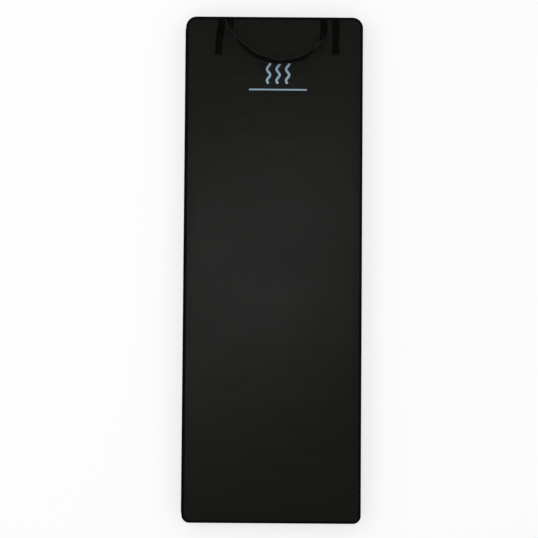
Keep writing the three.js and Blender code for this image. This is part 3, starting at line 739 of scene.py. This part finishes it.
def rim_curve(depth, half_height):
    """Half a rounded rim, from its top lap round to its bottom lap: (distance out, height)."""
    curve = []
    for k in range(RIM_STEPS + 1):
        angle = math.pi / 2 - math.pi * k / RIM_STEPS
        out = abs(math.cos(angle)) ** (2 / SQUARENESS) * depth
        up = math.copysign(abs(math.sin(angle)) ** (2 / SQUARENESS), math.sin(angle)) * half_height
        curve.append((out, up))
    return curve


def tape_section(half_height):
    """A thick U. Its two laps droop a little towards their free edges."""
    hub = -TAPE_LAP / 2
    outer = [(hub + a, u) for a, u in rim_curve(-hub, half_height)]
    inner = [(hub + a, u) for a, u in rim_curve(-hub - TAPE_THICK, half_height - TAPE_THICK)]
    edge = -TAPE_LAP
    outside = half_height - LAP_DROOP
    inside = half_height - TAPE_THICK - LAP_DROOP
    return [(edge, outside), *outer, (edge, -outside), (edge, -inside), *reversed(inner), (edge, inside)]


def over_root(x, y):
    """How far the edge tape and its stitches ride up where webbing is sewn in under them."""
    nearest = min(abs(x - place) for place in strap_places)
    beside = smooth((ROOT_HALF_WIDTH - nearest) / ROOT_EASE)
    near_hem = smooth((y - head + ROOT_DEPTH) / HEM_EASE)
    return ROOT_RISE * beside * near_hem


def edge_binding(side, body):
    low, high = rim[side][0][2], rim[side][1][2]
    middle = (low + high) / 2
    stations = []
    for point, outward in rim_walk(0, RIM_SPACING):
        heading = Vector((-outward.y, outward.x, 0))
        stations.append(station(Vector((*point, middle)), Vector((*outward, 0)), UP, heading))
    bm = sweep(tape_section((high - low) / 2), stations, closed=True)
    wander = random.Random(7 if side == "upper" else 11)
    phases = [wander.uniform(0, 6.28) for _ in RIPPLE_WAVES]
    for vert in bm.verts:
        x, y, z = vert.co
        lap = smooth((abs(z - middle) / (high - low) * 2 - LAP_FROM) / LAP_EASE)
        waves = zip(RIPPLE_WAVES, phases)
        ripple = sum(share * math.sin((x + y) * rate + phase) for (rate, share), phase in waves)
        vert.co.z += math.copysign(RIPPLE, z - middle) * ripple * lap
        if side == "upper" and z > middle:
            vert.co.z += over_root(x, y) * lap
    piece = make_piece(f"{side}_edge_tape", bm, edge_weave, body)
    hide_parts(f"{side}_binding")


edge_binding("upper", "lid")
edge_binding("lower", "base")

# %% [markdown]
# ## Stitches
#
# A row of lockstitch shows as short, plump grains of thread, end to end, each sunk a little into the cloth,
# and deeper on the back, which lies on the ground. One grain is a small squashed sphere, set down at a
# fixed pitch along the seam. There are hundreds in a row, so each has only twenty faces.

# %% Sewing a row
STITCH_PITCH = 4.6 * MM
STITCH_LENGTH = 3.5 * MM
THREAD = 0.42 * MM
SEAM_INSET = 7.6 * MM
STITCH_SINK = 0.05 * MM
BACK_STITCH_SINK = 0.12 * MM


def sew(name, seats, body, length=STITCH_LENGTH):
    """seats are (point, heading, up) for each stitch."""
    bm = bmesh.new()
    size = Matrix.Diagonal((THREAD, THREAD * 0.8, length / 2, 1))
    for point, heading, up in seats:
        seat = station(point, heading.cross(up), up, heading) @ size
        bmesh.ops.create_icosphere(bm, subdivisions=1, radius=1.0, matrix=seat)
    make_piece(name, bm, thread_black, body)


def rim_seam(name, body, height, up, over_webbing=False):
    seats = []
    for point, _, heading in evenly(rim_walk(SEAM_INSET, RIM_SPACING), STITCH_PITCH):
        rise = over_root(*point) if over_webbing else 0.0
        seats.append((Vector((*point, height + rise)), Vector((*heading, 0)), up))
    sew(name, seats, body)


rim_seam("upper_outer_seam", "lid", rim_top - STITCH_SINK, UP, over_webbing=True)
rim_seam("upper_inner_seam", "lid", pocket_top + STITCH_SINK, -UP)
rim_seam("lower_inner_seam", "base", pocket_low - STITCH_SINK, UP)
rim_seam("lower_outer_seam", "base", rim_low + BACK_STITCH_SINK, -UP)

# %% [markdown]
# ## Carry handle and closing tabs
#
# Webbing is modelled directly, as a ribbon with half-round selvedges, because it keeps its width and
# thickness however it twists. Its sewn root belongs to the lid and the rest swings with the strap, so each
# ribbon is one mesh that bends between the two bodies at the root. A tab's free end is turned under once
# and sewn, which makes its last centimetre nearly twice as thick.

# %% Webbing ribbons
_, hinge_y, hinge_z = joints["handle_swing"]["pos_m"]
BEND = 6 * MM
TAB_HEM = 10 * MM
EDGE_SHARE = 0.6
webbing_section = strip_section(WEB_WIDTH, WEB_THICK, 4)


def mark_selvedges(bm):
    """A tag of 1 along the two rounded edges, where a lighter colour paints the highlight they catch, and 0
    on its faces.
    """
    tag = bm.verts.layers.float.new("selvedge")
    across = bm.verts.layers.float["across"]
    round_edge = math.pi * WEB_THICK / 2
    flat_face = WEB_WIDTH - WEB_THICK
    first_edge = flat_face * 2 / 3 + round_edge / 2
    for vert in bm.verts:
        from_edge = (vert[across] - first_edge) % (flat_face + round_edge)
        from_edge = min(from_edge, flat_face + round_edge - from_edge)
        vert[tag] = 1.0 if from_edge < round_edge * EDGE_SHARE else 0.0


def ribbon(name, route, steps, body, nodes, hem=0.0):
    bm = sweep(webbing_section, webbing_stations(route, steps, hem))
    mark_selvedges(bm)
    piece = make_piece(name, bm, strap_weave)
    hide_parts(*nodes)
    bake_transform(piece, "lid", body, start=(0, hinge_y + BEND, hinge_z), end=(0, hinge_y - BEND, hinge_z))


handle_nodes = ("handle_strap", "left_handle_anchor", "right_handle_anchor")
ribbon("carry_handle", handle_route, 8, "handle", handle_nodes)
TAB_LAY = {"left": (-10, 137), "right": (0, 134)}
for side, (drift, length) in TAB_LAY.items():
    route = tab_route(tab_x[side], drift, length)
    nodes = (f"{side}_tab", f"{side}_tab_anchor")
    ribbon(f"{side}_closing_tab", route, 7, f"{side}_tab", nodes, TAB_HEM)

# %% [markdown]
# Under each tab's free end is a pad of hook tape, and its seam shows on top as a rectangle of stitches. The
# pad is a thin block with its corners and edges rounded. The loop patches that it grips are on the
# blanket's back.

# %% Rounding and sewing small pieces
PATCH_CORNER = 3 * MM
PATCH_ROUNDING = 0.4 * MM
BOX_PITCH = 3.4 * MM
BOX_STITCH = 2.6 * MM


def bevel(bm, edges, offset, segments, clamp=False):
    bmesh.ops.bevel(bm, geom=edges, offset=offset, offset_type="OFFSET", segments=segments, profile=0.5,
                    affect="EDGES", material=-1, clamp_overlap=clamp)


def soft_block(name, low, high, finish, body):
    """A thin block of pile tape, with its corners cut round and its faces' edges softened."""
    bm = bmesh.new()
    low, high = Vector(low), Vector(high)
    size = high - low
    seat = Matrix.Translation((low + high) / 2) @ Matrix.Diagonal((*size, 1))
    bmesh.ops.create_cube(bm, size=1.0, matrix=seat)
    upright = [e for e in bm.edges if abs((e.verts[0].co - e.verts[1].co).z) > size.z / 2]
    bevel(bm, upright, PATCH_CORNER, 5)
    flat = [e for e in bm.edges if abs((e.verts[0].co - e.verts[1].co).z) < 0.0001 * MM]
    bevel(bm, flat, PATCH_ROUNDING, 3, clamp=True)
    return make_piece(name, bm, finish, body)


def box_seam(name, low, high, margin, z, up, body, turn=0.0):
    """Stitches round a rectangle. A turn sets it askew, about the middle of its far side."""
    x0, y0, x1, y1 = low[0] + margin, low[1] + margin, high[0] - margin, high[1] - margin
    pivot = Vector(((x0 + x1) / 2, y1))
    spun = Matrix.Rotation(turn, 2)
    corners = [pivot + spun @ (Vector(corner) - pivot) for corner in ((x0, y0), (x1, y0), (x1, y1), (x0, y1))]
    seats = []
    for a, b in zip(corners, corners[1:] + corners[:1]):
        heading = (b - a).normalized()
        seats += [(Vector((*p, z)), Vector((*heading, 0)), up) for p in spaced(a, b, BOX_PITCH)]
    sew(name, seats, body, BOX_STITCH)


# %% Hook pads, loop patches and their seams
PAD_MARGIN = 1.5 * MM
PAD_GAP = 0.3 * MM
TAB_TURNS = {"left": math.radians(-3.2), "right": 0.0}
PATCH_MARGIN = 3 * MM
PATCH_FACE = 0.05 * MM
PATCH_BACK = 1.0 * MM
PATCH_STITCH = 0.25 * MM

for side, turn in TAB_TURNS.items():
    low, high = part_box(f"{side}_hook_pad")
    pad = soft_block(f"{side}_hook_tape", low, high, hook_pile, f"{side}_tab")
    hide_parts(f"{side}_hook_pad")
    on_top = high[2] + PAD_GAP + WEB_THICK - STITCH_SINK
    box_seam(f"{side}_tab_seam", low, high, PAD_MARGIN, on_top, UP, f"{side}_tab", turn)
    low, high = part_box(f"{side}_loop_patch")
    low[2], high[2] = bench + PATCH_FACE, bench + PATCH_BACK
    patch = soft_block(f"{side}_loop_tape", low, high, loop_pile, "base")
    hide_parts(f"{side}_loop_patch")
    box_seam(f"{side}_patch_seam", low, high, PATCH_MARGIN, bench + PATCH_STITCH, -UP, "base")

# %% [markdown]
# ## The folded side
#
# Down the left side one strip of tape joins the two panels, and the lid opens about its fold. It is swept
# as one ribbon, standing on edge and bowed a little outwards, and it bends between the two bodies. That way
# nothing tears when the lid swings over.

# %% Spine
spine_low, spine_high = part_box("lower_spine")[0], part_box("upper_spine")[1]
SPINE_THICK = 1.75 * MM
SPINE_BOW = 0.45 * MM
SPINE_STEPS = 12
SPINE_TUCK = 13 * MM
TUCK_IN = 1.2 * MM
TUCK_LOSS = 0.45
SPINE_TRIM = 1 * MM


def spine_section():
    """A tall, thin section about its own middle, bowed outwards: (across, up)."""
    tall = spine_high[2] - spine_low[2] - 2 * SPINE_TRIM
    outer, inner = [], []
    for k in range(SPINE_STEPS + 1):
        t = k / SPINE_STEPS
        bow = SPINE_BOW * (1 - math.sin(math.pi * t))
        outer.append((bow, (t - 0.5) * tall))
        inner.append((bow + SPINE_THICK, (t - 0.5) * tall))
    return outer + inner[::-1]


def spine_tuck(y):
    """At each end the tape's corners are cut round and tucked in: (how far in, height left)."""
    t = smooth(1 - min(y - spine_low[1], spine_high[1] - y) / SPINE_TUCK)
    return t * TUCK_IN, 1 - TUCK_LOSS * t * t


spine_length = spine_high[1] - spine_low[1]
spine_middle = (spine_low[2] + spine_high[2]) / 2
CLOSE_STEPS = [p * MM for p in (0, 2, 4, 7, 11)]
EVEN_FROM = 15 * MM
EVEN_STEPS = 145
even_length = spine_length - 2 * EVEN_FROM
spine_run = [spine_low[1] + p for p in CLOSE_STEPS]
spine_run += [spine_low[1] + EVEN_FROM + even_length * k / EVEN_STEPS for k in range(EVEN_STEPS + 1)]
spine_run += [spine_high[1] - p for p in reversed(CLOSE_STEPS)]
spine_stations = []
for y in spine_run:
    inwards, tall = spine_tuck(y)
    place = Vector((spine_low[0] + inwards, y, spine_middle))
    spine_stations.append(station(place, Vector((1, 0, 0)), UP * tall, Vector((0, 1, 0))))
spine = make_piece("spine_tape", sweep(spine_section(), spine_stations), edge_weave)
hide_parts("lower_spine", "upper_spine")
fold_z = joints["lid_open"]["pos_m"][2]
FOLD_HALF = 7 * MM
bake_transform(spine, "base", "lid", start=(left, 0, fold_z - FOLD_HALF), end=(left, 0, fold_z + FOLD_HALF))

# %% Spine seams
SPINE_SEAM_IN = 6 * MM
seam_heights = {"lower": spine_low[2] + SPINE_SEAM_IN, "upper": spine_high[2] - SPINE_SEAM_IN}
seam_x = spine_low[0] + SPINE_BOW * 0.55
stitch_count = int((spine_length - 2 * SPINE_TUCK) / STITCH_PITCH)
for side, z in seam_heights.items():
    seats = []
    for k in range(stitch_count):
        place = Vector((seam_x, spine_low[1] + SPINE_TUCK + (k + 0.5) * STITCH_PITCH, z))
        seats.append((place, Vector((0, 1, 0)), Vector((-1, 0, 0))))
    sew(f"{side}_spine_seam", seats, BODY_OF[side])

# %% [markdown]
# ## The zip
#
# Two tapes stand in the gap between the panels, down the right side and across the foot. Each carries a
# row of moulded teeth on its edge, and the two rows interlock because one is set half a pitch along from
# the other. A tooth is a block with its edges bevelled, set down at each pitch. With some 870 teeth to a
# row, each has only 26 faces.

# %% Zip tapes
ZIP_SPACING = 12 * MM
ZIP_TAPE_THICK = 0.9 * MM
ZIP_TAPE_SINK = 0.5 * MM
zip_end_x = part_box("lower_zip_tape")[0][0]
zip_start_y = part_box("lower_zip_tape")[1][1]


def zip_walk(inset, gap=0.0):
    """From the head end down the right side, round the foot corner and along the foot hem."""
    hub = Vector((right - FOOT_CORNER, foot + FOOT_CORNER))
    sideways, footwards = Vector((1, 0)), Vector((0, -1))
    start = Vector((right - inset, zip_start_y - gap))
    turn_in = Vector((right - inset, hub.y))
    walk = [(start, sideways)] + [(p, sideways) for p in spaced(start, turn_in, ZIP_SPACING)]
    for k in range(CORNER_STEPS + 1):
        angle = math.radians(-90 * k / CORNER_STEPS)
        outward = Vector((math.cos(angle), math.sin(angle)))
        walk.append((hub + outward * (FOOT_CORNER - inset), outward))
    end = Vector((zip_end_x + gap, foot + inset))
    walk += [(p, footwards) for p in spaced(walk[-1][0], end, ZIP_SPACING)]
    return walk + [(end, footwards)]


for side, body in BODY_OF.items():
    low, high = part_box(f"{side}_zip_tape")
    section = [(u, a) for a, u in strip_section(high[2] - low[2], ZIP_TAPE_THICK)]
    stations = []
    for point, outward in zip_walk(right - high[0] + ZIP_TAPE_SINK):
        place = Vector((*point, (low[2] + high[2]) / 2))
        heading = Vector((outward.y, -outward.x, 0))
        stations.append(station(place, Vector((*outward, 0)), UP, heading))
    piece = make_piece(f"{side}_zip_ribbon", sweep(section, stations), zip_weave, body)
    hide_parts(f"{side}_zip_tape")

# %% Zip teeth
TOOTH_PITCH = 2.6 * MM
TOOTH = (1.9 * MM, 3.6 * MM, 1.15 * MM)
TOOTH_REACH = 1.65 * MM
TOOTH_INSET = 1.0 * MM
FIRST_TOOTH = 4.6 * MM
TOOTH_BEVEL = 0.22 * MM


def teeth(side, body):
    """The lower row stands up into the gap, and the upper one hangs down, half a pitch further on."""
    low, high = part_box(f"{side}_zip_teeth")
    inset = right - (high[0] - TOOTH_INSET)
    reach = TOOTH_REACH - TOOTH[1] / 2
    centre_z = high[2] + reach if side == "lower" else low[2] - reach
    bm = bmesh.new()
    shift = 0.0 if side == "lower" else TOOTH_PITCH / 2
    for point, outward, heading in evenly(zip_walk(inset, gap=FIRST_TOOTH + shift), TOOTH_PITCH):
        seat = station(Vector((*point, centre_z)), Vector((*outward, 0)), UP, Vector((*heading, 0)))
        bmesh.ops.create_cube(bm, size=1.0, matrix=seat @ Matrix.Diagonal((*TOOTH, 1)))
    bevel(bm, list(bm.edges), TOOTH_BEVEL, 1)
    piece = make_piece(f"{side}_teeth", bm, tooth_plastic, body)
    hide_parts(f"{side}_zip_teeth")


teeth("lower", "base")
teeth("upper", "lid")

# %% [markdown]
# ## Slider, pull, stops and inlet
#
# These are moulded or cast, and their plain solids already have the right shape, but a casting has no
# sharp edges. So each is copied, its loose triangles are merged and its flat faces joined, and its edges
# are rounded by a small bevel.

# %% Rounded copies
SAME_POINT = 0.01 * MM
NEARLY_FLAT = math.radians(1)
SHARP = math.radians(40)


def rounded_copy(node, name, finish, body, radius):
    bm = bmesh.new()
    bm.from_mesh(frame["nodes"][node].data)
    bmesh.ops.remove_doubles(bm, verts=bm.verts, dist=SAME_POINT)
    bmesh.ops.dissolve_limit(bm, angle_limit=NEARLY_FLAT, verts=bm.verts, edges=bm.edges, delimit=set())
    sharp = [e for e in bm.edges if len(e.link_faces) == 2 and e.calc_face_angle(0) > SHARP]
    bevel(bm, sharp, radius, 2, clamp=True)
    piece = make_piece(name, bm, finish, body, turn_faces_out=False)
    piece.data.shade_flat()
    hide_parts(node)


rounded_copy("zip_slider", "slider_body", black_metal, "zip_slider", 0.18 * MM)
rounded_copy("zip_pull", "slider_pull", black_metal, "zip_pull", 0.25 * MM)
rounded_copy("zip_head_stop", "head_stop", black_metal, "base", 0.3 * MM)
rounded_copy("zip_foot_stop", "foot_stop", black_metal, "base", 0.3 * MM)
rounded_copy("inlet_housing", "power_inlet", inlet_plastic, "base", 0.5 * MM)
for number in range(1, 5):
    rounded_copy(f"inlet_pin_{number}", f"contact_pin_{number}", pin_brass, "base", 0.25 * MM)

# %% [markdown]
# ## What lies inside
#
# The wadding, foil, felt, heating wire, leads and sensors are closed in between the skins. Their solids
# stay as they are, and each takes the finish of what it is made of.

# %% Finishes of the hidden pieces
INNER_FINISHES = {
    "wadding": fluffy_wadding, "foil": bright_foil, "heater_felt": pressed_felt,
    "heating_wire": wire_silicone, "thermistor": sensor_shell, "thermal_cutout": sensor_shell,
    "feed_lead": lead_rubber, "return_lead": lead_rubber, "hinge_lead": lead_rubber,
    "splice_block": inlet_plastic,
}
for side in SIDES:
    for part, finish in INNER_FINISHES.items():
        node = frame["nodes"].get(f"{side}_{part}")
        if node is not None:
            node.data.materials.clear()
            node.data.materials.append(finish)
print("hidden pieces finished:", len(INNER_FINISHES), "kinds")

# %% [markdown]
# ## The printed mark
#
# Below the handle there is a pale blue print. Here it is a plain heat sign: three wavy lines over a bar.
# Each stroke is a film a fraction of a millimetre thick, swept flat and then laid on the skin, so that it
# follows the skin's relief.

# %% Heat sign
from mathutils.bvhtree import BVHTree

MARK_X = 14.5 * MM
MARK_TOP = head - 158 * MM
WAVE_HEIGHT = 82 * MM
WAVE_SWING = 5.5 * MM
WAVE_TURNS = 2.0
WAVE_PITCH = 34 * MM
WAVE_STEPS = 48
STROKE = 8.5 * MM
FILM = 0.16 * MM
FILM_LIFT = 0.35
BAR_STROKE = 0.65
BAR_WIDTH = 206 * MM
BAR_DROP = 22 * MM
BAR_STEPS = 24
skin_tree = BVHTree.FromObject(upper_cover, bpy.context.evaluated_depsgraph_get())


def stroke(parts, line, width):
    stations = []
    for i, point in enumerate(line):
        heading = (line[min(i + 1, len(line) - 1)] - line[max(i - 1, 0)]).normalized()
        across = Vector((heading.y, -heading.x, 0))
        stations.append(station(Vector((*point, 0)), across, UP, Vector((*heading, 0))))
    parts.append(sweep(strip_section(width, FILM), stations))


strokes = []
for k in (-1, 0, 1):
    line = []
    for step in range(WAVE_STEPS + 1):
        t = step / WAVE_STEPS
        swing = WAVE_SWING * math.sin(2 * math.pi * WAVE_TURNS * t)
        line.append(Vector((MARK_X + k * WAVE_PITCH + swing, MARK_TOP - WAVE_HEIGHT * t)))
    stroke(strokes, line, STROKE)
bar_y = MARK_TOP - WAVE_HEIGHT - BAR_DROP
bar = [Vector((MARK_X + BAR_WIDTH * (t / BAR_STEPS - 0.5), bar_y)) for t in range(BAR_STEPS + 1)]
stroke(strokes, bar, STROKE * BAR_STROKE)
mark = bmesh.new()
for part in strokes:
    scrap = mesh_of("stroke", part)
    mark.from_mesh(scrap)
    bpy.data.meshes.remove(scrap)
for vert in mark.verts:
    hit = skin_tree.ray_cast(Vector((vert.co.x, vert.co.y, 1.0)), -UP)[0]
    vert.co.z += hit.z + FILM * FILM_LIFT
make_piece("printed_heat_sign", mark, print_blue, "lid")

# %% [markdown]
# ## Studio
#
# The blanket lies on a light table, a pale sheet that glows a little from below, so that it has hardly any
# shadow round it. The sheet is set a few millimetres below the blanket, so that straps that are laid over
# with the lid open don't sink into it. Black leatherette shows almost nothing but what it mirrors. So the
# sky is bright in a ring and dim overhead, where the cover's reflection looks, and one long soft lamp set
# askew above the blanket draws the faint diagonal sheen across its middle.

# %% Light table
TABLE_SIZE = 60.0
TABLE_TOP = bench - 3.8 * MM
TABLE_GLOW = 0.65
TABLE_SHADE = 0.48
MOTTLE = 1.03
bm = bmesh.new()
bmesh.ops.create_grid(bm, x_segments=1, y_segments=1, size=TABLE_SIZE / 2)
bmesh.ops.translate(bm, vec=(0, 0, TABLE_TOP), verts=bm.verts)
table_mesh = mesh_of("light_table", bm)
sheet_recipe = Recipe("table_sheet", roughness=0.9, specular=0.05)
mottle = sheet_recipe.noise(sheet_recipe.place(), 40.0, 2.0)
sheet_recipe.shader.inputs["Emission Color"].default_value = (1.0, 1.0, 1.0, 1.0)
sheet_recipe.shader.inputs["Emission Strength"].default_value = TABLE_GLOW
shade = sheet_recipe.blend_colours(mottle, grey(TABLE_SHADE), grey(TABLE_SHADE * MOTTLE))
table_mesh.materials.append(sheet_recipe.finish(shade))
in_scene("light_table", table_mesh)

# %% Sky
SKY_STOPS = ((0.0, 1.1), (0.30, 1.15), (0.60, 1.0), (0.80, 0.12), (1.0, 0.06))
world = bpy.data.worlds.new("studio")
world.use_nodes = True
sky = world.node_tree
background = sky.nodes["Background"]
coords = sky.nodes.new("ShaderNodeTexCoord")
height = sky.nodes.new("ShaderNodeSeparateXYZ")
ramp = sky.nodes.new("ShaderNodeValToRGB")
sky.links.new(coords.outputs["Generated"], height.inputs["Vector"])
sky.links.new(height.outputs["Z"], ramp.inputs["Fac"])
sky.links.new(ramp.outputs["Color"], background.inputs["Color"])
while len(ramp.color_ramp.elements) < len(SKY_STOPS):
    ramp.color_ramp.elements.new(0.5)
for stop, (at, glow) in zip(ramp.color_ramp.elements, SKY_STOPS):
    stop.position = at
    stop.color = (glow, glow, glow, 1.0)
bpy.context.scene.world = world


# %% Lamps
def lamp(name, place, aim, size, power, turn=0.0):
    data = bpy.data.lights.new(name, "AREA")
    data.shape = "RECTANGLE"
    data.size, data.size_y = size
    data.energy = power
    made = in_scene(name, data)
    made.location = place
    made.visible_camera = False
    towards = (Vector(aim) - Vector(place)).to_track_quat("-Z", "Y").to_matrix()
    made.rotation_euler = (towards @ Matrix.Rotation(turn, 3, "Z")).to_euler()


lamp("long_soft_lamp", (-0.27, 0.10, 3.4), (-0.27, 0.10, 0), (1.9, 0.4), 8.4, math.radians(42))
lamp("side_lamp", (-3.6, 1.4, 3.0), (0, 0, 0), (2.0, 2.0), 18)
bpy.context.scene.view_settings.view_transform = "Standard"
